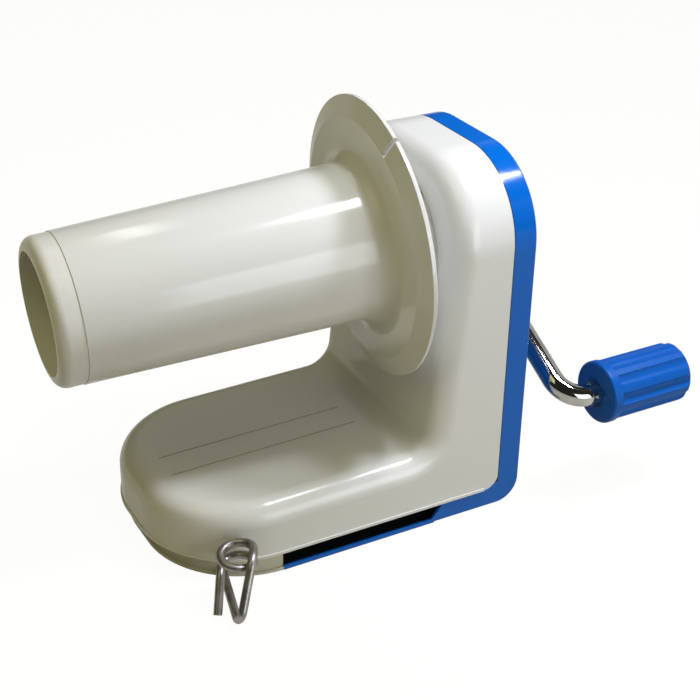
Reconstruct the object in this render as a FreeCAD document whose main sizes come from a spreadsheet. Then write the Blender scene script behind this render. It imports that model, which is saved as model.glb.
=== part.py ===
"""A hand-cranked yarn ball winder: a bobbin that leans on a turning carrier, on an L-shaped body.

Millimetres, +Z up. The origin is the centre of the base's underside, the bobbin points along -Y and
the crank is at the back, towards +Y. Three axes carry the mechanism:
  crank axis    level, along Y, through the lower half of the column;
  main axis     rises towards the front, square to the column's leaning front face;
  spindle axis  leans from the main axis and crosses it at the apex, inside the bobbin.
Every sub-part is built in the frame of its own axis and placed from the same sizes.
"""
import FreeCAD, Part
import math
import os
import re

import Sketcher
from FreeCAD import Placement, Rotation, Vector

doc = FreeCAD.newDocument("yarn_ball_winder")
sheet = doc.addObject("Spreadsheet::Sheet", "Sizes")
NODES = []
SIZES = {
    # body outline: column, foot and the two shells
    "half_width": 42.2,
    "column_height": 131.6,
    "crown_radius": 29.3,
    "seam_y": 59,
    "rear_depth": 9.1,
    "lip_z": 7.25,
    "foot_top": 28.6,
    "foot_slope": 1.0,
    "foot_reach": 66.6,
    "foot_corner": 36.2,
    "face_y": 29.8,
    "face_fillet": 9,
    "edge_radius": 7.6,
    "wall": 2.4,
    "lip_out": 0.4,
    "lip_high": 1.0,
    "seam_corner": 6,
    "rear_corner": 9,
    "rear_edge": 0.8,
    "strip_left": 4,
    "strip_right": 8,
    "strip_groove": 0.25,
    "strip_half": 0.4,
    "strip_front": 55,
    "strip_back": 17,
    # base: clamp slot, sill and tray
    "slot_front": 28.6,
    "slot_rear": 31,
    "slot_slant": 4.4,
    "sill": 1.5,
    "tray_inset": 1.2,
    "tray_set_back": 2.3,
    "tray_wall": 2.0,
    "tray_rim_out": 1.0,
    "tray_rim_high": 1.0,
    "tray_plate": 1.8,
    "tray_seat": 5,
    "tray_gap": 0.3,
    "tab_half": 6,
    "tab_reach": 41,
    "tab_high": 2.6,
    "tray_screw_x": 30,
    "tray_screw_y": 36,
    # screws: one size of self-tapping screw for the shells, one for small parts
    "boss_radius": 4.8,
    "pillar_radius": 4,
    "screw_radius": 1.5,
    "screw_head": 3,
    "screw_head_high": 2.2,
    "small_screw": 1.0,
    "small_head": 1.9,
    "small_head_high": 1.3,
    "head_gap": 0.3,
    "shell_screw_x": 35.5,
    "shell_screw_low": 20,
    "shell_screw_below": 33.6,
    "shell_boss": 15,
    "shell_screw_bite": 8,
    "tray_screw_length": 16,
    "small_thread": 3,
    "recess": 0.8,
    # longer than any wall that a hole goes through, and how far a cut runs past what it opens
    "through": 40,
    "past": 1,
    # main axis, lean of the spindle and rest phase of the carrier, angles in degrees
    "apex_y": -18.2,
    "apex_below": 34.7,
    "rise": 5.5,
    "lean": 9.5,
    "phase": 246.2,
    # bobbin, lengths from the flange's rim plane along the spindle axis
    "rim_back": 42.3,
    "rim_radius": 49.9,
    "band_width": 7.0,
    "band_depth": 2.8,
    "flange_wall": 2,
    "flange_edge": 1.6,
    "rim_round": 0.5,
    "crease_round": 0.8,
    "tube_root": 27.9,
    "tube_tip": 25.6,
    "tube_length": 108.2,
    "tube_wall": 2.2,
    "cove": 7,
    "hub_radius": 7,
    "hub_length": 43,
    "notch_width": 1.8,
    "notch_angle": 176,
    "cap_length": 9.0,
    "cap_hole": 20.8,
    "cap_plug": 8,
    "cap_step": 0.3,
    "cap_land": 0.6,
    "cap_fit": 0.05,
    # spindle, carrier and main shaft, lengths behind the apex
    "spindle_radius": 4,
    "running_gap": 0.1,
    "end_play": 0.3,
    "washer_radius": 7.5,
    "washer_thick": 1,
    "carrier_radius": 18,
    "carrier_gap": 2.56,
    "carrier_edge": 1,
    "spindle_seat": 3.7,
    "spindle_screw_length": 10,
    "spindle_screw_head": 4,
    "carrier_thick": 4.5,
    "main_shaft_radius": 3,
    "main_shaft_gap": 1.0,
    "main_seat": 3.5,
    "face_hole": 21,
    # gears: the teeth of each pair share one pressure angle and one backlash
    "ring_teeth": 45,
    "hub_teeth": 28,
    "ring_radius": 30,
    "ring_height": 6.3,
    "ring_chamfer": 0.8,
    "hub_gear_thick": 5,
    "hub_sink": 0.95,
    "hub_thread": 4,
    "hub_boss": 11,
    "gear_screw_ring": 7.8,
    "ring_screw_ring": 28.2,
    "gear_teeth": 30,
    "pinion_teeth": 14,
    "gear_thick": 6,
    "gear_gap": 0.4,
    "pressure_angle": 25,
    "addendum": 0.8,
    "dedendum": 1.2,
    "backlash": 0.3,
    "ring_backlash": 0.3,
    "pin_radius": 1,
    "pin_out": 3.5,
    # gear frame: the plate inside the column that carries the front bushes
    "frame_front": 47.5,
    "frame_thick": 3,
    "frame_half": 30,
    "frame_below": 14.6,
    "frame_tall": 64,
    "frame_corner": 5,
    "frame_screw_x": 25,
    "frame_screw_in": 5,
    "frame_screw_length": 8,
    "bush_wall": 2,
    "bush_reach": 0.9,
    "main_boss_radius": 8,
    "main_bush_length": 4.8,
    # crank rod and grip
    "crank_below": 29.5,
    "rod_radius": 4,
    "rod_end": 1,
    "rod_front": 43.5,
    "arm_y": 81,
    "arm_length": 56,
    "arm_drop": 27.3,
    "rod_bend": 10,
    "ear_out": 1.1,
    "ear_wide": 2.2,
    "ear_long": 2.4,
    "ear_turn": 22,
    "clip_thick": 1,
    "clip_out": 2.4,
    "clip_depth": 0.7,
    "clip_opening": 4.8,
    "outer_boss": 9,
    "outer_boss_high": 1.0,
    "bush_flange": 1.6,
    "bush_flange_thick": 0.6,
    "grip_y": 94.4,
    "grip_length": 36.1,
    "grip_disc": 11.6,
    "grip_disc_thick": 3,
    "grip_body": 11.1,
    "flutes": 10,
    "flute_radius": 3,
    "flute_depth": 1.3,
    "flute_start": 1,
    "grip_disc_round": 1,
    "grip_end_round": 2.5,
    "grip_pocket": 8,
    "grip_pocket_radius": 6.5,
    "grip_cap_thick": 1.6,
    # yarn guide: the wire slides in the tray along its own straight leg
    "wire_radius": 1.5,
    "wire_z": 2.2,
    "guide_turn": -14.3,
    "coil_x": 48,
    "coil_y": -49,
    "coil_radius": 5.5,
    "coil_low": 11.8,
    "coil_pitch": 5.2,
    "coil_start": 242.5,
    "coil_turns": 1.5,
    "knee": 4,
    "shoulder": 8,
    "vee_x": 65.7,
    "vee_y": -56.6,
    "vee_radius": 3,
    "free_x": 55.9,
    "free_y": -60,
    "free_z": 1.8,
    "wire_inside": 74,
    "tunnel_half": 3,
    "tunnel_end": 32.2,
    "tunnel_gap": 0.15,
    "tunnel_floor": 0.2,
    "collar_out": 0.6,
    "collar_long": 4,
}
TIED = {
    # heights that keep their distance from the column's top
    "apex_z": "=column_height - apex_below",
    "crank_z": "=apex_z - crank_below",
    "frame_high": "=column_height - frame_below",
    "frame_low": "=frame_high - frame_tall",
    "frame_screw_high": "=frame_high - frame_screw_in",
    "frame_screw_low": "=frame_low + frame_screw_in",
    "shell_screw_high": "=column_height - shell_screw_below",
}
for row, (name, value) in enumerate([*SIZES.items(), *TIED.items()], 1):
    sheet.set(f"A{row}", name)
    sheet.set(f"B{row}", str(value))
    sheet.setAlias(f"B{row}", name)
doc.recompute()

REAR_Y = "(seam_y + rear_depth)"
FACE_SLOPE = "tan(rise)"
FACE_BACK = "((face_y - apex_y) * cos(rise) + (apex_z - foot_top) * sin(rise))"
FRAME_BACK = "(frame_front + frame_thick)"
FRAME_MIDDLE = "((frame_front + frame_thick / 2 - apex_y) / cos(rise))"
BUSH_OUTER = "(rod_radius + running_gap + bush_wall)"
MAIN_BUSH_OUTER = "(main_shaft_radius + running_gap + bush_wall)"
HUB_GEAR_BACK = f"({FACE_BACK} + hub_sink)"
CARRIER_FRONT = f"({HUB_GEAR_BACK} + carrier_gap)"
CARRIER_BACK = f"({CARRIER_FRONT} + carrier_thick)"
SPINDLE_BACK = f"({CARRIER_FRONT} + spindle_seat)"
MAIN_SHAFT_BACK = f"(({REAR_Y} - wall - main_shaft_gap - apex_y) / cos(rise))"
GEAR_FRONT = f"({FRAME_BACK} + bush_reach + gear_gap)"
POCKET_Y = "(grip_y + grip_length - grip_pocket)"
CRANK_CLIP_Y = "(frame_front - bush_reach - end_play - clip_thick)"
GRIP_CLIP_Y = f"({POCKET_Y} + end_play)"
TUBE_END = "(tube_length - rim_back)"
TUBE_SLOPE = "((tube_root - tube_tip) / tube_length)"
WEB_BACK = "(-rim_back + band_depth - flange_wall)"
WEB_FRONT = "(-rim_back + band_depth)"


def size(expression):
    """The value of an expression in the sheet's names."""
    return float(sheet.evalExpression(expression))


def bound(expression):
    """The same expression as other objects write it."""
    return re.sub(r"\b([a-z]\w+)\b(?!\()", r"Sizes.\1", str(expression))


def node(obj, label, placement=None):
    """Labels a sub-part, places it and lists it for export."""
    obj.Label = label
    if placement is not None:
        obj.Placement = placement
    NODES.append(obj)
    return obj


def add_body(name):
    return doc.addObject("PartDesign::Body", name)


def add_sketch(body, name, plane, along="0"):
    """A sketch on one of the body's own origin planes, moved along its normal."""
    planes = [f for f in body.Origin.OriginFeatures if f.Role == plane]
    sketch = body.newObject("Sketcher::SketchObject", name)
    sketch.AttachmentSupport = [(planes[0], "")]
    sketch.MapMode = "FlatFace"
    sketch.setExpression("AttachmentOffset.Base.z", bound(along))
    return sketch


def draw_outline(sketch, corners):
    """A closed polygon whose corners are each bound to two expressions."""
    points = [Vector(size(x), size(y), 0) for x, y in corners]
    count = len(points)
    for i in range(count):
        sketch.addGeometry(Part.LineSegment(points[i], points[(i + 1) % count]), False)
    for i in range(count):
        sketch.addConstraint(Sketcher.Constraint("Coincident", i, 2, (i + 1) % count, 1))
    for i, (x, y) in enumerate(corners):
        for kind, expression, value in (("DistanceX", x, points[i].x), ("DistanceY", y, points[i].y)):
            index = sketch.addConstraint(Sketcher.Constraint(kind, -1, 1, i, 1, value))
            sketch.setExpression(f"Constraints[{index}]", bound(expression))


def draw_circle(sketch, x, y, radius):
    """A circle bound to its centre and radius."""
    centre = Vector(size(x), size(y), 0)
    index = sketch.addGeometry(Part.Circle(centre, Vector(0, 0, 1), size(radius)), False)
    for kind, expression, value in (("DistanceX", x, centre.x), ("DistanceY", y, centre.y)):
        place = sketch.addConstraint(Sketcher.Constraint(kind, -1, 1, index, 3, value))
        sketch.setExpression(f"Constraints[{place}]", bound(expression))
    place = sketch.addConstraint(Sketcher.Constraint("Radius", index, size(radius)))
    sketch.setExpression(f"Constraints[{place}]", bound(radius))


def add_pad(body, sketch, length, midplane=False, reverse=False):
    pad = body.newObject("PartDesign::Pad", sketch.Name + "_pad")
    pad.Profile = sketch
    pad.setExpression("Length", bound(length))
    pad.Midplane = midplane
    pad.Reversed = reverse
    doc.recompute()
    return pad


def add_pocket(body, sketch, length, midplane=False, reverse=False):
    """A pocket; it raises if it cut nothing."""
    before = body.Shape.Volume
    pocket = body.newObject("PartDesign::Pocket", sketch.Name + "_cut")
    pocket.Profile = sketch
    pocket.setExpression("Length", bound(length))
    pocket.Midplane = midplane
    pocket.Reversed = reverse
    doc.recompute()
    if body.Shape.Volume > before - 1e-6:
        raise RuntimeError(f"{sketch.Name} cuts nothing")
    return pocket


def add_fillet(body, base, radius, test):
    """Rounds every edge of the feature that passes the test."""
    names = [f"Edge{i + 1}" for i, edge in enumerate(base.Shape.Edges) if test(edge)]
    if not names:
        raise RuntimeError(f"no edge to round on {base.Name}")
    fillet = body.newObject("PartDesign::Fillet", base.Name + "_round")
    fillet.Base = (base, names)
    fillet.setExpression("Radius", bound(radius))
    doc.recompute()
    return fillet


def turned(name, corners):
    """A body turned about its own Z axis from a profile of (radius, height) corners."""
    body = add_body(name)
    sketch = add_sketch(body, name + "_profile", "XZ_Plane")
    draw_outline(sketch, corners)
    turn = body.newObject("PartDesign::Revolution", name + "_turn")
    turn.Profile = sketch
    turn.ReferenceAxis = (sketch, ["V_Axis"])
    turn.Angle = 360
    doc.recompute()
    return body


def sleeve(name, inner, outer, low, high):
    return turned(name, [(inner, low), (outer, low), (outer, high), (inner, high)])


def rod(name, radius, low, high):
    return sleeve(name, "0", radius, low, high)


def cylinder(name, radius, height, placement):
    """A plain cylinder whose base and direction come from the placement."""
    tool = doc.addObject("Part::Cylinder", name)
    tool.setExpression("Radius", bound(radius))
    tool.setExpression("Height", bound(height))
    tool.Placement = placement
    return tool


def block(name, corners):
    """A box between two opposite corners, each given as three expressions."""
    low, high = corners
    tool = doc.addObject("Part::Box", name)
    for side, axis, a, b in zip(("Length", "Width", "Height"), "xyz", low, high):
        tool.setExpression(side, bound(f"({b}) - ({a})"))
        tool.setExpression(f"Placement.Base.{axis}", bound(a))
    return tool


def fuse(name, pieces):
    joined = doc.addObject("Part::MultiFuse", name)
    joined.Shapes = pieces
    doc.recompute()
    return joined


def cut(name, base, tools):
    """The base less every tool; it raises if nothing went."""
    removed = tools[0] if len(tools) == 1 else fuse(name + "_tools", tools)
    result = doc.addObject("Part::Cut", name)
    result.Base = base
    result.Tool = removed
    doc.recompute()
    if result.Shape.Volume > base.Shape.Volume - 1e-6:
        raise RuntimeError(f"{name} cuts nothing")
    return result


# Each axis has a frame whose local Z runs along it towards the front.
def crank_frame():
    return Placement(Vector(0, 0, size("crank_z")), Rotation(Vector(1, 0, 0), 90))


def main_frame():
    return Placement(Vector(0, size("apex_y"), size("apex_z")), Rotation(Vector(1, 0, 0), 90 - size("rise")))


def spindle_frame():
    around = Placement(Vector(), Rotation(Vector(0, 0, 1), size("phase")))
    lean = Placement(Vector(), Rotation(Vector(0, 1, 0), size("lean")))
    return main_frame() * around * lean


def facing_back(x, y, z):
    """A frame at a point whose local Z runs along +Y."""
    return Placement(Vector(size(x), size(y), size(z)), Rotation(Vector(1, 0, 0), -90))


def upright(x, y, z):
    return Placement(Vector(size(x), size(y), size(z)), Rotation())


def face_at(z):
    """The expression of the front face's depth at a height."""
    return f"(face_y + (({z}) - foot_top) * {FACE_SLOPE})"


def foot_at(y):
    """The expression of the foot's height at a depth; the foot falls gently towards its front."""
    return f"(foot_top - (face_y - ({y})) * tan(foot_slope))"


def straight(edge):
    return edge.Curve.TypeId == "Part::GeomLine"


def runs_along(edge, axis):
    """True for a straight edge that runs along one of the axes."""
    direction = edge.Vertexes[-1].Point - edge.Vertexes[0].Point
    return straight(edge) and abs(getattr(direction, axis)) > 0.999 * direction.Length


def near(a, b):
    return abs(a - b) < 0.01


def shell_block(name, inset, low, back):
    """The front shell's L-shaped block, drawn in from the real outline by an inset on every face."""
    body = add_body(name)
    sketch = add_sketch(body, name + "_side", "YZ_Plane")
    top = f"(column_height - {inset})"
    face_top = f"(face_y + {inset} / cos(rise) + ({top} - foot_top) * {FACE_SLOPE})"
    face_low = f"(face_y + {inset} / cos(rise) - {inset} * {FACE_SLOPE})"
    front = f"(-foot_reach + {inset})"
    foot_back = f"({foot_at(face_low)} - {inset})"
    draw_outline(sketch, [(front, low), (back, low), (back, top), (face_top, top),
                          (face_low, foot_back), (front, f"({foot_at(front)} - {inset})")])
    feature = add_pad(body, sketch, f"2 * (half_width - {inset})", midplane=True)
    front_y, back_y, top_z = size(front), size(back), size(top)
    foot_z = size(foot_back)
    feature = add_fillet(body, feature, f"foot_corner - {inset}",
                         lambda e: runs_along(e, "z") and near(e.CenterOfMass.y, front_y))
    feature = add_fillet(body, feature, f"crown_radius - {inset}",
                         lambda e: runs_along(e, "y") and near(e.CenterOfMass.z, top_z))
    feature = add_fillet(body, feature, f"face_fillet + {inset}",
                         lambda e: runs_along(e, "x") and near(e.CenterOfMass.z, foot_z)
                         and e.CenterOfMass.y > front_y + 1)
    low_z = size(low)

    def on_soft_edge(edge):
        """The one chain round the foot's top, up the face's sides and over the crown."""
        faces = [f for f in feature.Shape.ancestorsOfType(edge, Part.Face)]
        turns = [f.normalAt(*f.Surface.parameter(edge.CenterOfMass)) for f in faces]
        middle = edge.CenterOfMass
        if len(turns) != 2 or turns[0].getAngle(turns[1]) < 0.5:
            return False
        return middle.z > low_z + 1 and middle.y < back_y - 1

    feature = add_fillet(body, feature, f"edge_radius - {inset}", on_soft_edge)
    return body


def foot_slab(name, grow, low, high, back, set_back="0"):
    """A slab with the foot's plan, grown or drawn in, from a low to a high level."""
    body = add_body(name)
    sketch = add_sketch(body, name + "_plan", "XY_Plane", low)
    side = f"(half_width + ({grow}))"
    front = f"({set_back} - foot_reach - ({grow}))"
    draw_outline(sketch, [(f"(-{side})", front), (side, front), (side, back), (f"(-{side})", back)])
    feature = add_pad(body, sketch, f"({high}) - ({low})")
    front_y = size(front)
    add_fillet(body, feature, f"foot_corner + ({grow})",
               lambda e: runs_along(e, "z") and near(e.CenterOfMass.y, front_y))
    return body


def tray_slab(name, grow, low, high, back):
    """A slab with the tray's plan, set back from the foot's front and cut square at the back."""
    slab = foot_slab(name + "_long", grow, low, high, "0", "tray_set_back")
    behind = block(name + "_behind", (("-half_width - past", back, f"{low} - past"),
                                      ("half_width + past", "past", f"{high} + past")))
    return cut(name, slab, [behind])


def shell_screw_places():
    return [(x, z) for x in ("(-shell_screw_x)", "shell_screw_x")
            for z in ("shell_screw_low", "shell_screw_high")]


def frame_screw_places():
    return [(x, z) for x in ("(-frame_screw_x)", "frame_screw_x")
            for z in ("frame_screw_low", "frame_screw_high")]


def tray_screw_places():
    return [(x, "(-tray_screw_y)") for x in ("(-tray_screw_x)", "tray_screw_x")]


def ring_screw_angles():
    return [30, 150, 270]


def front_shell():
    """The white front half: column and foot, open behind and beneath, with bosses for the screws."""
    outer = shell_block("front_outer", "0", "lip_z", "seam_y")
    lip = foot_slab("front_lip", "lip_out", "lip_z", "lip_z + lip_high", "seam_y - seam_corner")
    inner = shell_block("front_inner", "wall", "lip_z - past", "seam_y + past")
    corner = rear_bottom_corner()
    shell = cut("front_hollow", fuse("front_solid", [outer, lip]), [inner, corner])
    posts = []
    for i, (x, z) in enumerate(shell_screw_places()):
        posts.append(cylinder(f"shell_boss_{i}", "boss_radius", "shell_boss",
                              facing_back(x, "seam_y - shell_boss", z)))
    for i, (x, z) in enumerate(frame_screw_places()):
        start = f"({face_at(z)} + wall / 2)"
        posts.append(cylinder(f"pillar_{i}", "pillar_radius", f"frame_front - ({start})",
                              facing_back(x, start, z)))
    for i, (x, y) in enumerate(tray_screw_places()):
        roof = f"{foot_at(y)} - wall / 2"
        posts.append(cylinder(f"foot_boss_{i}", "pillar_radius", f"{roof} - lip_z - tray_plate",
                              upright(x, y, "lip_z + tray_plate")))
    holes = []
    for i, (x, z) in enumerate(shell_screw_places()):
        holes.append(cylinder(f"shell_pilot_{i}", "screw_radius", "shell_screw_bite + past",
                              facing_back(x, "seam_y - shell_screw_bite", z)))
    for i, (x, z) in enumerate(frame_screw_places()):
        holes.append(cylinder(f"pillar_pilot_{i}", "screw_radius", "frame_screw_length",
                              facing_back(x, "frame_front + frame_thick - frame_screw_length", z)))
    for i, (x, y) in enumerate(tray_screw_places()):
        holes.append(cylinder(f"foot_pilot_{i}", "screw_radius", "tray_screw_length", upright(x, y, "0")))
    behind = main_frame() * upright("0", "0", f"-({FACE_BACK} + wall + past)")
    holes.append(cylinder("face_opening", "face_hole", "wall + 2 * past", behind))
    for i, angle in enumerate(ring_screw_angles()):
        spot = main_frame() * Placement(Vector(), Rotation(Vector(0, 0, 1), angle))
        spot = spot * upright("ring_screw_ring", "0", f"-({FACE_BACK} + wall + past)")
        holes.append(cylinder(f"ring_hole_{i}", "small_screw", "wall + 2 * past", spot))
    for i, middle in enumerate(("-strip_left", "strip_right")):
        line = doc.addObject("Part::Box", f"strip_line_{i}")
        line.setExpression("Length", bound("2 * strip_half"))
        line.setExpression("Width", bound("strip_front + strip_back"))
        line.setExpression("Height", bound("strip_groove + past"))
        start = upright(f"{middle} - strip_half", "-strip_front", f"{foot_at('-strip_front')} - strip_groove")
        line.Placement = start * Placement(Vector(), Rotation(Vector(1, 0, 0), size("foot_slope")))
        holes.append(line)
    node(cut("front_shell_shape", fuse("front_posts", [shell] + posts), holes), "front_shell")


def rear_bottom_corner():
    """What the rounded seam corner takes off the front shell: a square corner less a cylinder."""
    square = block("seam_square", (("-half_width - past", "seam_y - seam_corner", "lip_z - past"),
                                   ("half_width + past", "seam_y + past", "lip_z + seam_corner")))
    centre = Vector(-size("half_width + 2 * past"), size("seam_y - seam_corner"), size("lip_z + seam_corner"))
    lying = Placement(centre, Rotation(Vector(0, 1, 0), 90))
    round_part = cylinder("seam_round", "seam_corner", "2 * half_width + 4 * past", lying)
    return cut("seam_corner_tool", square, [round_part])


def rear_shell():
    """The blue rear half: it closes the column's back, runs under the foot and ends in the sill."""
    body = add_body("rear_outer")
    sketch = add_sketch(body, "rear_side", "YZ_Plane")
    draw_outline(sketch, [("slot_rear", "0"), (REAR_Y, "0"), (REAR_Y, "column_height"),
                          ("seam_y", "column_height"), ("seam_y", "lip_z"),
                          ("(slot_rear + slot_slant)", "lip_z"), ("slot_rear", "sill")])
    feature = add_pad(body, sketch, "2 * half_width", midplane=True)
    top, rear, seam, lip = size("column_height"), size(REAR_Y), size("seam_y"), size("lip_z")
    feature = add_fillet(body, feature, "crown_radius",
                         lambda e: runs_along(e, "y") and near(e.CenterOfMass.z, top))
    feature = add_fillet(body, feature, "rear_corner", lambda e: runs_along(e, "x")
                         and near(e.CenterOfMass.z, 0) and near(e.CenterOfMass.y, rear))
    feature = add_fillet(body, feature, "seam_corner", lambda e: runs_along(e, "x")
                         and near(e.CenterOfMass.z, lip) and near(e.CenterOfMass.y, seam))
    feature = add_fillet(body, feature, "rear_edge",
                         lambda e: near(e.BoundBox.YMin, rear) and e.CenterOfMass.z > size("rear_corner"))
    shell = cut("rear_open", body, [rear_hollow()])
    additions = [block("sill_bar", (("-half_width", "-slot_front", "0"),
                                    ("half_width", "slot_rear + past", "sill")))]
    additions.append(cylinder("crank_boss", "outer_boss", f"{REAR_Y} + outer_boss_high - seam_y",
                              facing_back("0", "seam_y", "crank_z")))
    main_boss = cylinder("main_boss", "main_boss_radius", "main_bush_length + rear_depth",
                         main_frame() * upright("0", "0", f"-{MAIN_SHAFT_BACK} - rear_depth"))
    trim = block("main_boss_trim", (("-half_width", f"{REAR_Y} - wall / 2", "0"),
                                    ("half_width", f"{REAR_Y} + through", "column_height")))
    additions.append(cut("main_boss_trimmed", main_boss, [trim]))
    for i, (x, z) in enumerate(shell_screw_places()):
        additions.append(cylinder(f"rear_boss_{i}", "boss_radius", "rear_depth - wall / 2",
                                  facing_back(x, "seam_y", z)))
    for i, (x, y) in enumerate(tray_screw_places()):
        additions.append(block(f"sill_tab_{i}", ((f"{x} - tab_half", "-tab_reach", "0"),
                                                 (f"{x} + tab_half", "-slot_front + past", "sill"))))
        pad_back = "-slot_front - running_gap"
        additions.append(block(f"sill_tab_pad_{i}", ((f"{x} - tab_half", "-tab_reach", "0"),
                                                     (f"{x} + tab_half", pad_back, "tab_high"))))
    holes = [cylinder("crank_bore", BUSH_OUTER, "through", facing_back("0", "seam_y - past", "crank_z"))]
    holes.append(cylinder("main_bore", MAIN_BUSH_OUTER, "main_bush_length + past",
                          main_frame() * upright("0", "0", f"-{MAIN_SHAFT_BACK}")))
    for i, (x, z) in enumerate(shell_screw_places()):
        holes.append(cylinder(f"rear_hole_{i}", "screw_radius", "through",
                              facing_back(x, "seam_y - past", z)))
        holes.append(cylinder(f"rear_sink_{i}", "screw_head + head_gap", "through",
                              facing_back(x, f"{REAR_Y} - screw_head_high - recess", z)))
    for i, (x, y) in enumerate(tray_screw_places()):
        holes.append(cylinder(f"tab_hole_{i}", "screw_radius", "tab_high + 2 * past", upright(x, y, "-past")))
        holes.append(cylinder(f"tab_sink_{i}", "screw_head + head_gap", "tab_high / 2 + past",
                              upright(x, y, "-past")))
    node(cut("rear_shell_shape", fuse("rear_solid", [shell] + additions), holes), "rear_shell")


def rear_hollow():
    """The room inside the rear shell, open towards the front shell."""
    body = add_body("rear_room")
    sketch = add_sketch(body, "rear_room_side", "YZ_Plane")
    back = f"({REAR_Y} - wall)"
    top = "(column_height - wall)"
    low_front = "(slot_rear + slot_slant * wall / lip_z + wall)"
    high_front = "(slot_rear + slot_slant + wall)"
    draw_outline(sketch, [(low_front, "wall"), (back, "wall"), (back, top),
                          ("(seam_y - seam_corner - past)", top),
                          ("(seam_y - seam_corner - past)", "(lip_z + seam_corner + past)"),
                          (high_front, "(lip_z + seam_corner + past)"), (high_front, "lip_z")])
    feature = add_pad(body, sketch, "2 * (half_width - wall)", midplane=True)
    top_z, back_y, floor_z = size(top), size(back), size("wall")
    feature = add_fillet(body, feature, "crown_radius - wall",
                         lambda e: runs_along(e, "y") and near(e.CenterOfMass.z, top_z))
    add_fillet(body, feature, "rear_corner - wall", lambda e: runs_along(e, "x")
               and near(e.CenterOfMass.z, floor_z) and near(e.CenterOfMass.y, back_y))
    return body


def guide_frame():
    """The yarn guide's frame: on the wire's straight leg at the bend, local X pointing outwards."""
    return Placement(Vector(size("vee_x"), size("vee_y"), size("wire_z")),
                     Rotation(Vector(0, 0, 1), size("guide_turn")))


def base_tray():
    """The cream tray: a plate over the clamp slot, the skirt round the foot's front, the wire's tunnel."""
    skirt = tray_slab("tray_skirt", "-tray_inset", "0", "lip_z", "-slot_front")
    rim = tray_slab("tray_rim", "tray_rim_out - tray_inset", "0", "tray_rim_high", "-slot_front")
    room = tray_slab("tray_room", "-tray_inset - tray_wall", "-past", "lip_z + past",
                     "-slot_front - tray_wall")
    ring = cut("tray_ring", fuse("tray_outer", [skirt, rim]), [room])
    plate = foot_slab("tray_plate_slab", "-wall - tray_gap", "lip_z", "lip_z + tray_plate",
                      "(slot_rear + slot_slant + tray_seat)")
    pieces = [ring, plate]
    for i, (x, y) in enumerate(tray_screw_places()):
        pieces.append(cylinder(f"tray_boss_{i}", "pillar_radius", "lip_z - tab_high",
                               upright(x, y, "tab_high")))
    tunnel = doc.addObject("Part::Box", "tunnel")
    tunnel.setExpression("Length", bound("vee_x"))
    tunnel.setExpression("Width", bound("2 * tunnel_half"))
    tunnel.setExpression("Height", bound("lip_z - tunnel_floor"))
    tunnel.Placement = guide_frame() * upright("-vee_x", "-tunnel_half", "tunnel_floor - wire_z")
    inside = tray_slab("tunnel_room", "-tray_inset - tray_wall / 2", "-past", "lip_z + past",
                       "-slot_front - past")
    trimmed = doc.addObject("Part::Common", "tunnel_inside")
    trimmed.Base = tunnel
    trimmed.Tool = inside
    beyond = block("tunnel_beyond", (("-half_width - past", "-foot_reach - past", "-past"),
                                     ("tunnel_end", "0", "lip_z + past")))
    pieces.append(cut("tunnel_block", trimmed, [beyond]))
    bore = guide_frame() * Placement(Vector(-size("wire_inside"), 0, 0), Rotation(Vector(0, 1, 0), 90))
    holes = [cylinder("tunnel_bore", "wire_radius + tunnel_gap", "wire_inside", bore)]
    for i, (x, y) in enumerate(tray_screw_places()):
        holes.append(cylinder(f"tray_hole_{i}", "screw_radius", "lip_z + tray_plate + past",
                              upright(x, y, "0")))
        left, right = f"{x} - tab_half - tray_gap", f"{x} + tab_half + tray_gap"
        holes.append(block(f"tab_way_{i}", ((left, "-slot_front - tray_wall - past", "-past"),
                                            (right, "-slot_front + past", "tab_high"))))
    node(cut("base_tray_shape", fuse("tray_solid", pieces), holes), "base_tray")


def screw_shape(radius, head, head_high, length):
    """One pan-head screw with a crossed recess, its head's seat at the origin, pointing along -Z."""
    shank = Part.makeCylinder(radius, length, Vector(0, 0, -length))
    cap = Part.makeCylinder(head, head_high)
    rounding, cross_floor = 0.4 * head_high, 0.5 * head_high
    cross_long, cross_wide = 1.2 * head, 0.26 * head
    cap = cap.makeFillet(rounding, [e for e in cap.Edges if near(e.BoundBox.ZMin, head_high)])
    arm = Part.makeBox(cross_long, cross_wide, head_high,
                       Vector(-cross_long / 2, -cross_wide / 2, cross_floor))
    other = arm.copy()
    other.rotate(Vector(), Vector(0, 0, 1), 90)
    return shank.fuse(cap).cut(arm).cut(other).removeSplitter()


def screw_group(label, shape, places):
    """Equal screws in one node, as a group of separate solids."""
    copies = []
    for place in places:
        copy = shape.copy()
        copy.Placement = place
        copies.append(copy)
    group = doc.addObject("Part::Feature", label + "_group")
    group.Shape = Part.makeCompound(copies)
    node(group, label)


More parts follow.
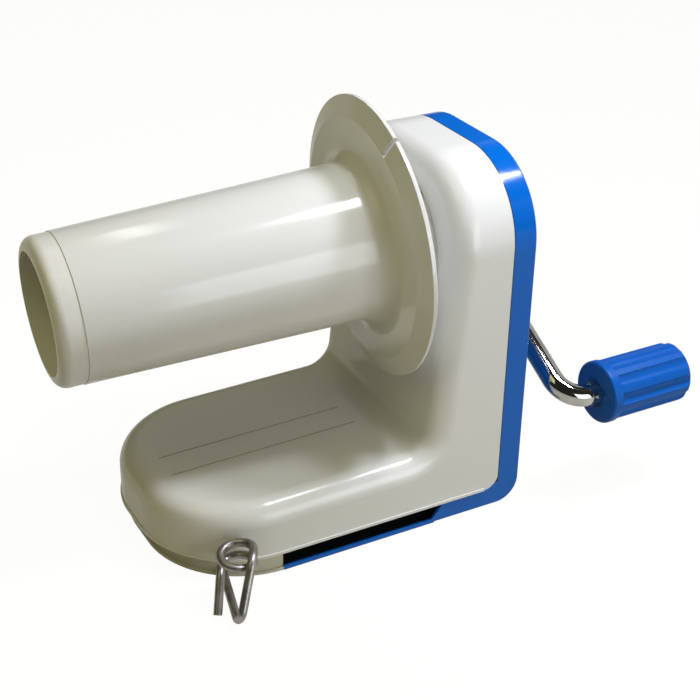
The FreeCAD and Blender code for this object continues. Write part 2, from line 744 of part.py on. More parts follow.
def fasteners():
    """The screws of the shells, the tray, the gear frame, the ring gear and the hub gear."""
    big = [size("screw_radius"), size("screw_head"), size("screw_head_high")]
    small = [size("small_screw"), size("small_head"), size("small_head_high")]
    head_y = f"{REAR_Y} - screw_head_high - recess"
    shell = screw_shape(*big, size(f"{head_y} - seam_y + shell_screw_bite"))
    screw_group("shell_screws", shell, [facing_back(x, head_y, z) for x, z in shell_screw_places()])
    seat = "(tab_high / 2)"
    flat = screw_shape(size("screw_radius"), size("screw_head"), size(f"{seat} - head_gap"),
                       size(f"tray_screw_length - {seat}"))
    over = Rotation(Vector(1, 0, 0), 180)
    screw_group("tray_screws", flat, [Placement(Vector(size(x), size(y), size(seat)), over)
                                      for x, y in tray_screw_places()])
    frame = screw_shape(*big, size("frame_screw_length"))
    screw_group("frame_screws", frame, [facing_back(x, FRAME_BACK, z) for x, z in frame_screw_places()])
    ring = screw_shape(*small, size("wall + small_thread"))
    places = []
    for angle in ring_screw_angles():
        spot = main_frame() * Placement(Vector(), Rotation(Vector(0, 0, 1), angle))
        seat = Vector(size("ring_screw_ring"), 0, -size(f"{FACE_BACK} + wall"))
        places.append(spot * Placement(seat, over))
    screw_group("ring_screws", ring, places)
    hub = screw_shape(*small, size(f"{HUB_GEAR_BACK} - small_head_high + {WEB_BACK} + hub_thread"))
    places = []
    for angle in (0, 120, 240):
        spot = spindle_frame() * Placement(Vector(), Rotation(Vector(0, 0, 1), angle))
        seat = Vector(size("gear_screw_ring"), 0, -size(f"{HUB_GEAR_BACK} - small_head_high"))
        places.append(spot * Placement(seat, over))
    screw_group("hub_gear_screws", hub, places)


def toothed_points(teeth, pitch_radius, tip, root, widen):
    """Corners of a toothed disc: involute flanks, each cut into two straight lines.

    The tooth is half a pitch thick on the pitch circle, plus widen."""
    teeth = int(round(teeth))
    slope = math.radians(size("pressure_angle"))
    base = pitch_radius * math.cos(slope)
    half = (math.pi * pitch_radius / teeth + widen) / (2 * pitch_radius)

    def involute(angle):
        return math.tan(angle) - angle

    def half_angle(radius):
        pressure = math.acos(min(1.0, base / radius))
        return half + involute(slope) - involute(pressure)

    flank = [(r, half_angle(r)) for r in (root, pitch_radius, tip)]
    corners = []
    for k in range(teeth):
        middle = 2 * math.pi * k / teeth
        for radius, angle in [(r, -a) for r, a in flank] + [(r, a) for r, a in reversed(flank)]:
            corners.append((radius * math.cos(middle + angle), radius * math.sin(middle + angle)))
    return corners


def cone_of_teeth(corners, apex, large, small):
    """A ruled solid through a toothed outline at the large end and its scaled copy at the small end.

    The three heights are local Z values; all edges meet at the apex."""
    wires = []
    for height in (large, small):
        scale = (height - apex) / (large - apex)
        points = [Vector(x * scale, y * scale, height) for x, y in corners]
        wires.append(Part.makePolygon(points + [points[0]]))
    return Part.makeLoft(wires, True, True)


def tube_shape(radius, low, high):
    return Part.makeCylinder(radius, high - low, Vector(0, 0, low))


def ring_and_hub_gear():
    """The ring gear on the column's face and the bobbin's gear that rolls in it, cones about the apex."""
    lean = math.radians(size("lean"))
    ratio = size("ring_teeth / hub_teeth")
    hub_slope = math.atan2(math.sin(lean), ratio - math.cos(lean))
    ring_slope = hub_slope + lean
    back = size(FACE_BACK)
    past = size("past")
    beyond = back + past
    pitch = beyond * math.tan(ring_slope)
    module = 2 * pitch / size("ring_teeth")
    space = toothed_points(size("ring_teeth"), pitch, pitch + size("dedendum") * module,
                           pitch - size("addendum") * module, size("ring_backlash"))
    front = back - size("ring_height")
    solid = tube_shape(size("ring_radius"), -back, -front)
    solid = solid.makeChamfer(size("ring_chamfer"), [e for e in solid.Edges if near(e.BoundBox.ZMin, -front)])
    ring = solid.cut(cone_of_teeth(space, 0, -beyond, -front + past))
    for angle in ring_screw_angles():
        hole = Part.makeCylinder(size("small_screw"), size("small_thread"),
                                 Vector(size("ring_screw_ring"), 0, -back))
        hole.rotate(Vector(), Vector(0, 0, 1), angle - 180 - size("phase"))
        ring = ring.cut(hole)
    gear = doc.addObject("Part::Feature", "ring_gear_teeth")
    gear.Shape = ring.removeSplitter()
    in_mesh = Placement(Vector(), Rotation(Vector(0, 0, 1), size("phase") + 180))
    node(gear, "ring_gear", main_frame() * in_mesh)

    far = size(HUB_GEAR_BACK)
    near_end = far - size("hub_gear_thick")
    pitch = far * math.tan(hub_slope)
    module = 2 * pitch / size("hub_teeth")
    teeth = toothed_points(size("hub_teeth"), pitch, pitch + size("addendum") * module,
                           pitch - size("dedendum") * module, 0)
    hub = cone_of_teeth(teeth, 0, -far, -near_end)
    hub = hub.fuse(tube_shape(size("hub_boss"), -near_end, size(WEB_BACK)))
    hub = hub.cut(tube_shape(size("spindle_radius + running_gap"), -far - past, size(WEB_BACK) + past))
    for angle in (0, 120, 240):
        hole = Part.makeCylinder(size("small_screw"), size("through"),
                                 Vector(size("gear_screw_ring"), 0, -far - past))
        sink = Part.makeCylinder(size("small_head + head_gap"), size("small_head_high") + past,
                                 Vector(size("gear_screw_ring"), 0, -far - past))
        tool = hole.fuse(sink)
        tool.rotate(Vector(), Vector(0, 0, 1), angle)
        hub = hub.cut(tool)
    gear = doc.addObject("Part::Feature", "hub_gear_teeth")
    gear.Shape = hub.removeSplitter()
    node(gear, "hub_gear", spindle_frame())


def crank_gear_and_pinion():
    """The crank's gear and the main shaft's pinion, cones about the point where their axes meet."""
    rise = math.radians(size("rise"))
    ratio = size("gear_teeth / pinion_teeth")
    pinion_slope = math.atan2(math.sin(rise), ratio + math.cos(rise))
    gear_slope = rise - pinion_slope
    meet = size("(apex_z - crank_z) / sin(rise)")
    meet_y = size("apex_y") + meet * math.cos(rise)
    front_y = size(GEAR_FRONT)
    past = size("past")
    slant = (meet_y - front_y) / math.cos(gear_slope)
    thick = size("gear_thick")
    pitch = slant * math.sin(gear_slope)
    module = 2 * pitch / size("gear_teeth")
    teeth = toothed_points(size("gear_teeth"), pitch, pitch + size("addendum") * module,
                           pitch - size("dedendum") * module, -size("backlash"))
    solid = cone_of_teeth(teeth, -meet_y, -front_y, -front_y - thick)
    solid = solid.cut(tube_shape(size("rod_radius"), -front_y - thick - past, -front_y + past))
    middle = -front_y - thick / 2
    pin_out = size("rod_radius + pin_out")
    pin_start = Vector(-pin_out, 0, middle)
    solid = solid.cut(Part.makeCylinder(size("pin_radius"), 3 * pitch, pin_start, Vector(1, 0, 0)))
    in_mesh = crank_frame() * Placement(Vector(), Rotation(Vector(0, 0, 1), 90 + 180 / size("gear_teeth")))
    gear = doc.addObject("Part::Feature", "crank_gear_teeth")
    gear.Shape = solid
    node(gear, "crank_gear", in_mesh)
    pin = Part.makeCylinder(size("pin_radius"), 2 * pin_out, pin_start, Vector(1, 0, 0))
    roll = doc.addObject("Part::Feature", "crank_gear_roll_pin")
    roll.Shape = pin
    node(roll, "crank_gear_pin", in_mesh)

    teeth_count = size("pinion_teeth")
    front = meet - slant * math.cos(pinion_slope)
    pitch = slant * math.sin(pinion_slope)
    teeth = toothed_points(size("pinion_teeth"), pitch, pitch + size("addendum") * module,
                           pitch - size("dedendum") * module, 0)
    solid = cone_of_teeth(teeth, -meet, -front, -front - thick)
    solid = solid.cut(tube_shape(size("main_shaft_radius"), -front - thick - past, -front + past))
    middle = -front - thick / 2
    pin_reach = pitch - size("dedendum") * module - size("end_play")
    across = Vector(math.cos(math.pi / teeth_count), math.sin(math.pi / teeth_count), 0)
    start = across * -pin_reach + Vector(0, 0, middle)
    solid = solid.cut(Part.makeCylinder(size("pin_radius"), 3 * pitch, start, across))
    in_mesh = main_frame() * Placement(Vector(), Rotation(Vector(0, 0, 1), 270))
    gear = doc.addObject("Part::Feature", "main_pinion_teeth")
    gear.Shape = solid
    node(gear, "main_pinion", in_mesh)
    pin = Part.makeCylinder(size("pin_radius"), 2 * pin_reach, start, across)
    roll = doc.addObject("Part::Feature", "main_pinion_roll_pin")
    roll.Shape = pin
    node(roll, "main_pinion_pin", in_mesh)
    return pin


def main_shaft(pinion_pin):
    """The steel shaft through carrier, bush, pinion and bush, with the pin's hole."""
    body = rod("main_shaft_bar", "main_shaft_radius", f"-{MAIN_SHAFT_BACK}", f"main_seat - {CARRIER_BACK}")
    hole = doc.addObject("Part::Feature", "main_shaft_pin_hole")
    hole.Shape = pinion_pin.copy()
    hole.Placement = Placement(Vector(), Rotation(Vector(0, 0, 1), 270))
    shape = cut("main_shaft_shape", body, [hole])
    node(shape, "main_shaft", main_frame())


def carrier():
    """The round carrier: pressed on the main shaft, it holds the spindle off the main axis."""
    body = add_body("carrier_disc")
    sketch = add_sketch(body, "carrier_plan", "XY_Plane", f"-{CARRIER_BACK}")
    draw_circle(sketch, "0", "0", "carrier_radius")
    feature = add_pad(body, sketch, "carrier_thick")
    back, front = -size(CARRIER_BACK), -size(CARRIER_FRONT)
    add_fillet(body, feature, "carrier_edge",
               lambda e: near(e.CenterOfMass.z, back) or near(e.CenterOfMass.z, front))
    around = Placement(Vector(), Rotation(Vector(0, 0, 1), size("phase")))
    lean = Placement(Vector(), Rotation(Vector(0, 1, 0), size("lean")))
    seat = around * lean * upright("0", "0", f"-{SPINDLE_BACK}")
    holes = [cylinder("spindle_seat_hole", "spindle_radius", "through", seat),
             cylinder("shaft_seat_hole", "main_shaft_radius", "main_seat",
                      upright("0", "0", f"-{CARRIER_BACK}"))]
    node(cut("carrier_shape", body, holes), "carrier", main_frame())


def spindle_set():
    """The fixed spindle, and the washer and screw that keep the bobbin on it."""
    front = f"({WEB_BACK} + hub_length + end_play)"
    body = rod("spindle_bar", "spindle_radius", f"-{SPINDLE_BACK}", front)
    hole = cylinder("spindle_tapping", "screw_radius", "spindle_screw_length + 2 * past",
                    upright("0", "0", f"{front} - spindle_screw_length - past"))
    node(cut("spindle_shape", body, [hole]), "spindle", spindle_frame())
    washer = sleeve("spindle_washer_ring", "screw_radius", "washer_radius", front,
                    f"{front} + washer_thick")
    node(washer, "spindle_washer", spindle_frame())
    shape = screw_shape(size("screw_radius"), size("spindle_screw_head"), size("screw_head_high"),
                        size("spindle_screw_length"))
    screw_group("spindle_screw", shape, [spindle_frame() * upright("0", "0", f"{front} + washer_thick")])


def bobbin():
    """The white bobbin: dished flange with a bevelled rim, tapered tube and the hub inside it."""
    bore = "(spindle_radius + running_gap)"
    edge_z = "(-rim_back - flange_edge)"
    band_root = "(rim_radius - band_width)"
    corners = [(bore, WEB_BACK), (f"({band_root} - crease_round)", WEB_BACK),
               ("(rim_radius - rim_round)", edge_z),
               ("rim_radius", f"({edge_z} + rim_round)"), ("rim_radius", "(-rim_back)"),
               (band_root, WEB_FRONT), (f"(tube_root - band_depth * {TUBE_SLOPE})", WEB_FRONT),
               ("tube_tip", TUBE_END), ("(tube_tip - tube_wall)", TUBE_END),
               ("(tube_root - tube_wall)", WEB_FRONT), ("hub_radius", WEB_FRONT),
               ("hub_radius", f"({WEB_BACK} + hub_length)"), (bore, f"({WEB_BACK} + hub_length)")]
    body = turned("bobbin_turned", corners)
    web_z, root_r = size(WEB_FRONT), size(f"tube_root - band_depth * {TUBE_SLOPE}")
    feature = add_fillet(body, body.Tip, "cove", lambda e: near(e.BoundBox.ZMin, web_z)
                         and near(e.BoundBox.ZMax, web_z) and near(e.BoundBox.XMax, root_r))
    band_r = size(band_root)
    add_fillet(body, feature, "crease_round", lambda e: near(e.BoundBox.ZMin, web_z)
               and near(e.BoundBox.ZMax, web_z) and near(e.BoundBox.XMax, band_r))
    slit = doc.addObject("Part::Box", "yarn_notch")
    slit.setExpression("Length", bound("through"))
    slit.setExpression("Width", bound("notch_width"))
    slit.setExpression("Height", bound("through"))
    around = Placement(Vector(), Rotation(Vector(0, 0, 1), size("notch_angle")))
    slit.Placement = around * upright(band_root, "-notch_width / 2", "-rim_back - through / 2")
    holes = [slit]
    for i, angle in enumerate((0, 120, 240)):
        spot = Placement(Vector(), Rotation(Vector(0, 0, 1), angle))
        spot = spot * upright("gear_screw_ring", "0", f"{WEB_BACK} - past")
        holes.append(cylinder(f"hub_pilot_{i}", "small_screw", "hub_thread + 2 * past", spot))
    node(cut("bobbin_shape", body, holes), "bobbin", spindle_frame())


def tip_cap():
    """The ring that ends the bobbin's tube: a rounded open nose with a plug inside the tube."""
    outer = f"(tube_tip - cap_step)"
    plug = "(tube_tip - tube_wall - cap_fit)"
    plug_end, nose = f"({TUBE_END} - cap_plug)", f"({TUBE_END} + cap_length)"
    corners = [("cap_hole", plug_end), (plug, plug_end), (plug, TUBE_END), (outer, TUBE_END),
               (outer, nose), ("cap_hole", nose)]
    body = turned("tip_cap_turned", corners)
    tip_z, outer_r = size(nose), size(outer)
    add_fillet(body, body.Tip, f"{outer} - cap_hole - cap_land",
               lambda e: near(e.BoundBox.ZMin, tip_z) and near(e.BoundBox.XMax, outer_r))
    node(body, "tip_cap", spindle_frame())


def gear_frame():
    """The plate inside the column, on four pillars, that holds the front bushes."""
    body = add_body("gear_frame_plate")
    sketch = add_sketch(body, "gear_frame_plan", "XZ_Plane", f"-{FRAME_BACK}")
    draw_outline(sketch, [("(-frame_half)", "frame_low"), ("frame_half", "frame_low"),
                          ("frame_half", "frame_high"), ("(-frame_half)", "frame_high")])
    feature = add_pad(body, sketch, "frame_thick")
    add_fillet(body, feature, "frame_corner", lambda e: runs_along(e, "y"))
    crank_hole = cylinder("frame_crank_hole", BUSH_OUTER, "through",
                          facing_back("0", "frame_front - through / 2", "crank_z"))
    main_hole = cylinder("frame_main_hole", MAIN_BUSH_OUTER, "through",
                         main_frame() * upright("0", "0", f"-{FRAME_MIDDLE} - through / 2"))
    holes = [crank_hole, main_hole]
    for i, (x, z) in enumerate(frame_screw_places()):
        holes.append(cylinder(f"frame_hole_{i}", "screw_radius", "through",
                              facing_back(x, "frame_front - past", z)))
    node(cut("gear_frame_shape", body, holes), "gear_frame")


def bushes():
    """Plain sleeves that the two shafts turn in, one pair for each shaft."""
    half = "(frame_thick / 2 + bush_reach)"
    inner = "(main_shaft_radius + running_gap)"
    node(sleeve("main_front_sleeve", inner, MAIN_BUSH_OUTER, f"(-{FRAME_MIDDLE} - {half})",
                f"(-{FRAME_MIDDLE} + {half})"), "main_front_bush", main_frame())
    node(sleeve("main_rear_sleeve", inner, MAIN_BUSH_OUTER, f"(-{MAIN_SHAFT_BACK})",
                f"(main_bush_length - {MAIN_SHAFT_BACK})"), "main_rear_bush", main_frame())
    inner = "(rod_radius + running_gap)"
    node(sleeve("crank_front_sleeve", inner, BUSH_OUTER, f"(-{FRAME_BACK} - bush_reach)",
                "(-frame_front + bush_reach)"), "crank_front_bush", crank_frame())
    outside = f"(-{REAR_Y} - outer_boss_high)"
    flange = f"({BUSH_OUTER} + bush_flange)"
    node(turned("crank_rear_sleeve", [(inner, f"({outside} - bush_flange_thick)"),
                                      (flange, f"({outside} - bush_flange_thick)"), (flange, outside),
                                      (BUSH_OUTER, outside), (BUSH_OUTER, "(-seam_y)"),
                                      (inner, "(-seam_y)")]), "crank_rear_bush", crank_frame())


def crank_rod():
    """The bent chrome rod: shaft, arm and handle pin in one plane, with ears staked behind the grip."""
    body = add_body("crank_rod_bar")
    path = add_sketch(body, "crank_path", "XY_Plane")
    bend = size("rod_bend")
    arm_y, length = size("arm_y"), size("arm_length")
    rod_end = f"({POCKET_Y} + end_play + clip_thick + rod_end)"
    front, end = size("rod_front"), size(rod_end)
    first_bend = Part.Circle(Vector(bend, arm_y - bend, 0), Vector(0, 0, 1), bend)
    second_bend = Part.Circle(Vector(length - bend, arm_y + bend, 0), Vector(0, 0, 1), bend)
    path.addGeometry(Part.LineSegment(Vector(0, front, 0), Vector(0, arm_y - bend, 0)), False)
    path.addGeometry(Part.ArcOfCircle(first_bend, math.pi / 2, math.pi), False)
    path.addGeometry(Part.LineSegment(Vector(bend, arm_y, 0), Vector(length - bend, arm_y, 0)), False)
    path.addGeometry(Part.ArcOfCircle(second_bend, -math.pi / 2, 0), False)
    path.addGeometry(Part.LineSegment(Vector(length, arm_y + bend, 0), Vector(length, end, 0)), False)
    for first, end_a, second, end_b in ((0, 2, 1, 2), (1, 1, 2, 1), (2, 2, 3, 1), (3, 2, 4, 1)):
        path.addConstraint(Sketcher.Constraint("Tangent", first, end_a, second, end_b))
    path.addConstraint(Sketcher.Constraint("Vertical", 0))
    path.addConstraint(Sketcher.Constraint("Horizontal", 2))
    path.addConstraint(Sketcher.Constraint("Vertical", 4))
    path.addConstraint(Sketcher.Constraint("PointOnObject", 0, 1, -2))
    ends = (("DistanceY", 0, 1, "rod_front"), ("DistanceY", 2, 1, "arm_y"),
            ("DistanceX", 4, 1, "arm_length"), ("DistanceY", 4, 2, rod_end))
    for kind, geometry, point, expression in ends:
        index = path.addConstraint(Sketcher.Constraint(kind, -1, 1, geometry, point, size(expression)))
        path.setExpression(f"Constraints[{index}]", bound(expression))
    for arc in (1, 3):
        index = path.addConstraint(Sketcher.Constraint("Radius", arc, bend))
        path.setExpression(f"Constraints[{index}]", bound("rod_bend"))
    section = add_sketch(body, "crank_section", "XZ_Plane", "-rod_front")
    draw_circle(section, "0", "0", "rod_radius")
    doc.recompute()
    pipe = body.newObject("PartDesign::AdditivePipe", "crank_pipe")
    pipe.Profile = section
    pipe.Spine = path
    doc.recompute()
    ears = []
    for i in range(2):
        ear = doc.addObject("Part::Box", f"ear_{i}")
        ear.setExpression("Length", bound("2 * (rod_radius + ear_out)"))
        ear.setExpression("Width", bound("ear_long"))
        ear.setExpression("Height", bound("ear_wide"))
        turn = Placement(Vector(size("arm_length"), 0, 0),
                         Rotation(Vector(0, 1, 0), -size("ear_turn") - size("arm_drop") - 90 * i))
        ear.Placement = turn * upright("-rod_radius - ear_out", "grip_y - ear_long - end_play",
                                       "-ear_wide / 2")
        ears.append(ear)
    cuts = []
    for name, at_y, at_x in (("clip_groove", CRANK_CLIP_Y, 0), ("grip_clip_groove", GRIP_CLIP_Y, length)):
        groove = sleeve(name, "rod_radius - clip_depth", "rod_radius + past", f"(-{at_y} - clip_thick)",
                        f"(-{at_y})")
        groove.Placement = Placement(Vector(at_x, 0, 0), Rotation(Vector(1, 0, 0), 90))
        cuts.append(groove)
    pin_turn = Placement(Vector(0, size(f"{GEAR_FRONT} + gear_thick / 2"), 0),
                         Rotation(Vector(0, 1, 0), -90 - 180 / size("gear_teeth") - size("arm_drop")))
    across = Placement(Vector(-size("rod_radius + past"), 0, 0), Rotation(Vector(0, 1, 0), 90))
    cuts.append(cylinder("rod_pin_hole", "pin_radius", "2 * (rod_radius + past)", pin_turn * across))
    shape = cut("crank_rod_shape", fuse("crank_rod_eared", [body] + ears), cuts)
    node(shape, "crank_rod", arm_frame())


def arm_frame():
    """The crank's bent plane: X along the arm, which points down to the right, Y along the crank axis."""
    return Placement(Vector(0, 0, size("crank_z")), Rotation(Vector(0, 1, 0), size("arm_drop")))


def snap_ring(name, at_y):
    """A retaining ring with a gap, in the rod's groove at a depth along the crank's axis."""
    body = sleeve(name + "_ring", "rod_radius - clip_depth", "rod_radius + clip_out",
                  f"(-{at_y} - clip_thick)", f"(-{at_y})")
    gap = block(name + "_gap", (("0", "-clip_opening / 2", f"(-{at_y} - clip_thick - past)"),
                                ("rod_radius + clip_out + past", "clip_opening / 2", f"(-{at_y} + past)")))
    return cut(name + "_shape", body, [gap])


def clips():
    """The ring that keeps the crank in its bushes, and the one that keeps the grip on its pin."""
    upright_y = Placement(Vector(), Rotation(Vector(1, 0, 0), 90))
    ring = snap_ring("crank_clip", CRANK_CLIP_Y)
    node(ring, "crank_clip", arm_frame() * upright_y)
    ring = snap_ring("grip_clip", GRIP_CLIP_Y)
    moved = Placement(Vector(size("arm_length"), 0, 0), Rotation(Vector(1, 0, 0), 90))
    node(ring, "grip_clip", arm_frame() * moved)


def grip_frame():
    """The grip's own axis, parallel to the crank's, with local Z along +Y from the grip's inner face."""
    inner_face = Vector(size("arm_length"), size("grip_y"), 0)
    return arm_frame() * Placement(inner_face, Rotation(Vector(1, 0, 0), -90))


def grip():
    """The blue grip: a smooth disc towards the arm, then a fluted body, bored for the rod."""
    bore = "(rod_radius + running_gap)"
    corners = [(bore, "0"), ("grip_disc", "0"), ("grip_disc", "grip_disc_thick"),
               ("grip_body", "grip_disc_thick"), ("grip_body", "grip_length"),
               ("grip_pocket_radius", "grip_length"),
               ("grip_pocket_radius", "(grip_length - grip_pocket)"), (bore, "(grip_length - grip_pocket)")]
    body = turned("grip_turned", corners)
    end, disc_r, body_r = size("grip_length"), size("grip_disc"), size("grip_body")
    feature = add_fillet(body, body.Tip, "grip_disc_round", lambda e: near(e.BoundBox.XMax, disc_r)
                         and near(e.BoundBox.ZMax, 0))
    add_fillet(body, feature, "grip_end_round", lambda e: near(e.BoundBox.XMax, body_r)
               and near(e.BoundBox.ZMin, end))
    sketch = add_sketch(body, "flute_section", "XY_Plane", "grip_disc_thick + flute_start")
    draw_circle(sketch, "grip_body + flute_radius - flute_depth", "0", "flute_radius")
    flute = add_pocket(body, sketch, "grip_length", reverse=True)
    pattern = body.newObject("PartDesign::PolarPattern", "flute_pattern")
    pattern.Originals = [flute]
    pattern.Axis = ([f for f in body.Origin.OriginFeatures if f.Role == "Z_Axis"][0], [""])
    pattern.Angle = 360
    pattern.setExpression("Occurrences", bound("flutes"))
    body.Tip = pattern
    doc.recompute()
    node(body, "grip", grip_frame())
    cap = rod("grip_cap_disc", "grip_pocket_radius - cap_fit", "(grip_length - grip_cap_thick)",
              "grip_length")
    node(cap, "grip_cap", grip_frame())


def joined_arc(a, tangent, b):
    """The arc that leaves a along the tangent and ends at b, or the line where they are in line."""
    chord = b - a
    along = Vector(chord)
    along.normalize()
    side = tangent - along * tangent.dot(along)
    if side.Length < 1e-6:
        return Part.LineSegment(a, b)
    turn = tangent.getAngle(along)
    side.normalize()
    middle = (a + b) * 0.5 + side * (chord.Length / 2 * math.tan(turn / 2))
    return Part.Arc(a, middle, b)


def biarc(a, tangent_a, b, tangent_b):
    """Two arcs that join a to b and meet both tangents."""
    chord, total = b - a, tangent_a + tangent_b
    spread = 2 * (1 - tangent_a.dot(tangent_b))
    across = chord.dot(total)
    if spread < 1e-9:
        reach = chord.dot(chord) / (4 * chord.dot(tangent_b))
    else:
        reach = (-across + math.sqrt(across * across + spread * chord.dot(chord))) / spread
    join = ((a + tangent_a * reach) + (b - tangent_b * reach)) * 0.5
    first = joined_arc(a, tangent_a, join)
    second = joined_arc(b, tangent_b * -1, join)
    return [first, second]


def guide_path():
    """The yarn guide's centre line as lines and arcs: free leg, coiled eye, riser, tight bend, inner leg."""
    centre = Vector(size("coil_x"), size("coil_y"), size("coil_low"))
    radius, pitch, turns = size("coil_radius"), size("coil_pitch"), size("coil_turns")
    start = math.radians(size("coil_start"))
    climb = pitch / (2 * math.pi * radius)

    def coil(turn):
        """The point and the direction of the coil after some turns, clockwise from above."""
        angle = start - 2 * math.pi * turn
        point = centre + Vector(radius * math.cos(angle), radius * math.sin(angle), pitch * turn)
        way = Vector(math.sin(angle), -math.cos(angle), climb)
        return point, way.normalize()

    free_end = Vector(size("free_x"), size("free_y"), size("free_z"))
    vee = Vector(size("vee_x"), size("vee_y"), size("wire_z"))
    inward = guide_frame().Rotation.multVec(Vector(-1, 0, 0))
    first, first_way = coil(0)
    last, last_way = coil(turns)
    knee = first - (first_way + (first - free_end).normalize()).normalize() * size("knee")
    knee_way = (knee - free_end).normalize()
    shoulder = last + (last_way + (vee - last).normalize()).normalize() * size("shoulder")
    riser_way = (vee - shoulder).normalize()
    reach = size("vee_radius") * math.tan(riser_way.getAngle(inward) / 2)
    bend_in, bend_out = vee - riser_way * reach, vee + inward * reach

    quarters = int(round(4 * turns))
    stations = [(knee, knee_way)] + [coil(i * turns / quarters) for i in range(quarters + 1)]
    stations.append((shoulder, riser_way))
    edges = [Part.LineSegment(free_end, knee)]
    for (a, way_a), (b, way_b) in zip(stations, stations[1:]):
        edges += biarc(a, way_a, b, way_b)
    edges.append(Part.LineSegment(shoulder, bend_in))
    edges += biarc(bend_in, riser_way, bend_out, inward)
    edges.append(Part.LineSegment(bend_out, vee + inward * size("wire_inside")))
    return free_end, knee_way, [edge.toShape() for edge in edges]


def least_gap(wire, diameter):
    """The least air gap between stretches of the wire that lie over four diameters apart along it."""
    points = wire.discretize(Distance=0.5)
    step = wire.Length / (len(points) - 1)
    apart = int(4 * diameter / step)
    return min((points[i] - points[j]).Length for i in range(len(points))
               for j in range(i + apart, len(points))) - diameter


def guide_wire():
    """The bent wire of the yarn guide, one unbroken tube, and the stop collar on its inner end."""
    free_end, way, edges = guide_path()
    path = Part.Wire(edges)
    radius = size("wire_radius")
    section = Part.Wire([Part.makeCircle(radius, free_end, way)])
    tube = path.makePipeShell([section], True, False)
    print(f"guide wire: gap to itself {least_gap(path, 2 * radius):.2f} mm, "
          f"volume {tube.Volume / (math.pi * radius ** 2 * path.Length):.4f} of section times length")
    wire = doc.addObject("Part::Feature", "guide_wire_tube")
    wire.Shape = tube
    node(wire, "guide_wire")
    collar = sleeve("guide_collar_ring", "wire_radius", "wire_radius + collar_out", "0", "collar_long")
    inner_end = Placement(Vector(-size("wire_inside"), 0, 0), Rotation(Vector(0, 1, 0), 90))
    node(collar, "guide_collar", guide_frame() * inner_end)


def export():
    """Checks every object and writes each node's shape to its own file."""
    doc.recompute()
    for obj in doc.Objects:
        if "Invalid" in obj.State or "Error" in obj.State:
            raise RuntimeError(f"{obj.Name} failed: {obj.State}")
    os.makedirs("parts", exist_ok=True)
    for obj in NODES:
        shape = obj.Shape
        if shape.isNull() or not shape.isValid():
            raise RuntimeError(f"{obj.Label} has no valid shape")
        shape.exportStep(f"parts/{obj.Label}.step")
        print(f"{obj.Label}: {len(shape.Solids)} solid(s), {shape.Volume:.1f} mm3")


front_shell()
rear_shell()
base_tray()
gear_frame()
bushes()
ring_and_hub_gear()
main_shaft(crank_gear_and_pinion())
carrier()
spindle_set()
bobbin()
tip_cap()
crank_rod()
clips()
grip()
guide_wire()
fasteners()
export()
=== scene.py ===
"""A hand-cranked yarn ball winder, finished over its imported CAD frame, in metres.

The sections follow the winder as it is put together: the two body shells and the tray, the parts
hidden in the column, the crank and its grip, the bobbin on its spindle, the yarn guide, the screws,
and last the table it stands on, the lamps and the camera."""
import math

import bpy
import numpy as np
from mathutils import Matrix, Vector

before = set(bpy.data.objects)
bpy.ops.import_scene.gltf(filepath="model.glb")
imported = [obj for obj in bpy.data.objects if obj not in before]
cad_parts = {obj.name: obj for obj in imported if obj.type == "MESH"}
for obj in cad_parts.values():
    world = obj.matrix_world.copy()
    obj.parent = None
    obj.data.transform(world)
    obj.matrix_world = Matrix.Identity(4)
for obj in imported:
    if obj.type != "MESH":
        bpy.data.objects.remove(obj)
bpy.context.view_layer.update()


# Front shell: the column and the foot in one moulding of creamy white ABS, polished in the mould.
# It is open behind and beneath, and screwed to the blue shell along the seam round the column's back.
class Value:
    """One output in a material: an operator on it adds a Math node, and ask() adds any other node."""

    def __init__(self, tree, socket=None):
        self.tree = tree
        self.socket = socket

    def ask(self, kind, settings=None, inputs=None, output=0):
        """Adds a node, makes its settings, fills its sockets with numbers or links, and gives an output."""
        made = self.tree.nodes.new(kind)
        for name, value in (settings or {}).items():
            setattr(made, name, value)
        for name, value in (inputs or {}).items():
            if isinstance(value, Value):
                self.tree.links.new(value.socket, made.inputs[name])
            else:
                made.inputs[name].default_value = value
        return Value(self.tree, made.outputs[output]) if made.outputs else None

    def maths(self, operation, first, second):
        return self.ask("ShaderNodeMath", {"operation": operation}, {0: first, 1: second})

    def __add__(self, other):
        return self.maths("ADD", self, other)

    __radd__ = __add__

    def __mul__(self, other):
        return self.maths("MULTIPLY", self, other)

    __rmul__ = __mul__

    def __sub__(self, other):
        return self.maths("SUBTRACT", self, other)

    def __rsub__(self, other):
        return self.maths("SUBTRACT", other, self)

    def larger(self, other):
        return self.maths("MAXIMUM", self, other)

    def between(self, low, high):
        """0 below low, 1 above high and a smooth step between them."""
        ranged = {"Value": self, "From Min": low, "From Max": high}
        return self.ask("ShaderNodeMapRange", {"interpolation_type": "SMOOTHSTEP"}, ranged)

    def band(self, low, high, soft):
        """1 from low to high, falling to 0 over a soft edge outside them."""
        return self.between(low - soft, low) * (1 - self.between(high, high + soft))

    def tint(self, colour, other):
        """The first colour where this is 0 and the other where it is 1: a Mix node's colour sockets."""
        return self.ask("ShaderNodeMix", {"data_type": "RGBA"}, {0: self, 6: colour, 7: other}, 2)


def bare_nodes(owner):
    """Clears the nodes of a material or a world, and gives the value that the new ones are asked from."""
    owner.use_nodes = True
    owner.node_tree.nodes.clear()
    return Value(owner.node_tree)


def along(point, axis):
    """One coordinate of a point, x, y or z, in metres."""
    return point.ask("ShaderNodeSeparateXYZ", inputs={"Vector": point}, output=axis.upper())


